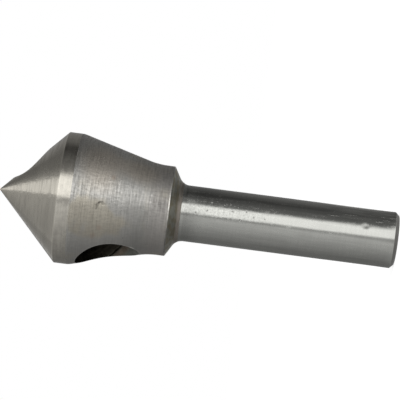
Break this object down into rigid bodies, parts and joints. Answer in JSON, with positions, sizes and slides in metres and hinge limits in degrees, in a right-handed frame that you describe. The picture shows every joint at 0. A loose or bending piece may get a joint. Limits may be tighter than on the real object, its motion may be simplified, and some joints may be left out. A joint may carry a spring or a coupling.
{
  "type": "countersink bit",
  "caption": "Countersink with a pointed cone, a slanted round hole through the head whose edge is the cutting lip, a tapered back and a plain round shank.",
  "frame": {"origin": "centre of the shank's flat end face, on which the tool stands", "axes": "+Z along the tool's axis towards the point, +X towards the side of the cone that the slanted hole opens on"},
  "size_m": [0.028, 0.028, 0.085],
  "materials": {
    "ground_steel": "ground and turned"
  },
  "bodies": {
    "root": {"countersink_bit": "ground_steel"}
  },
  "joints": []
}
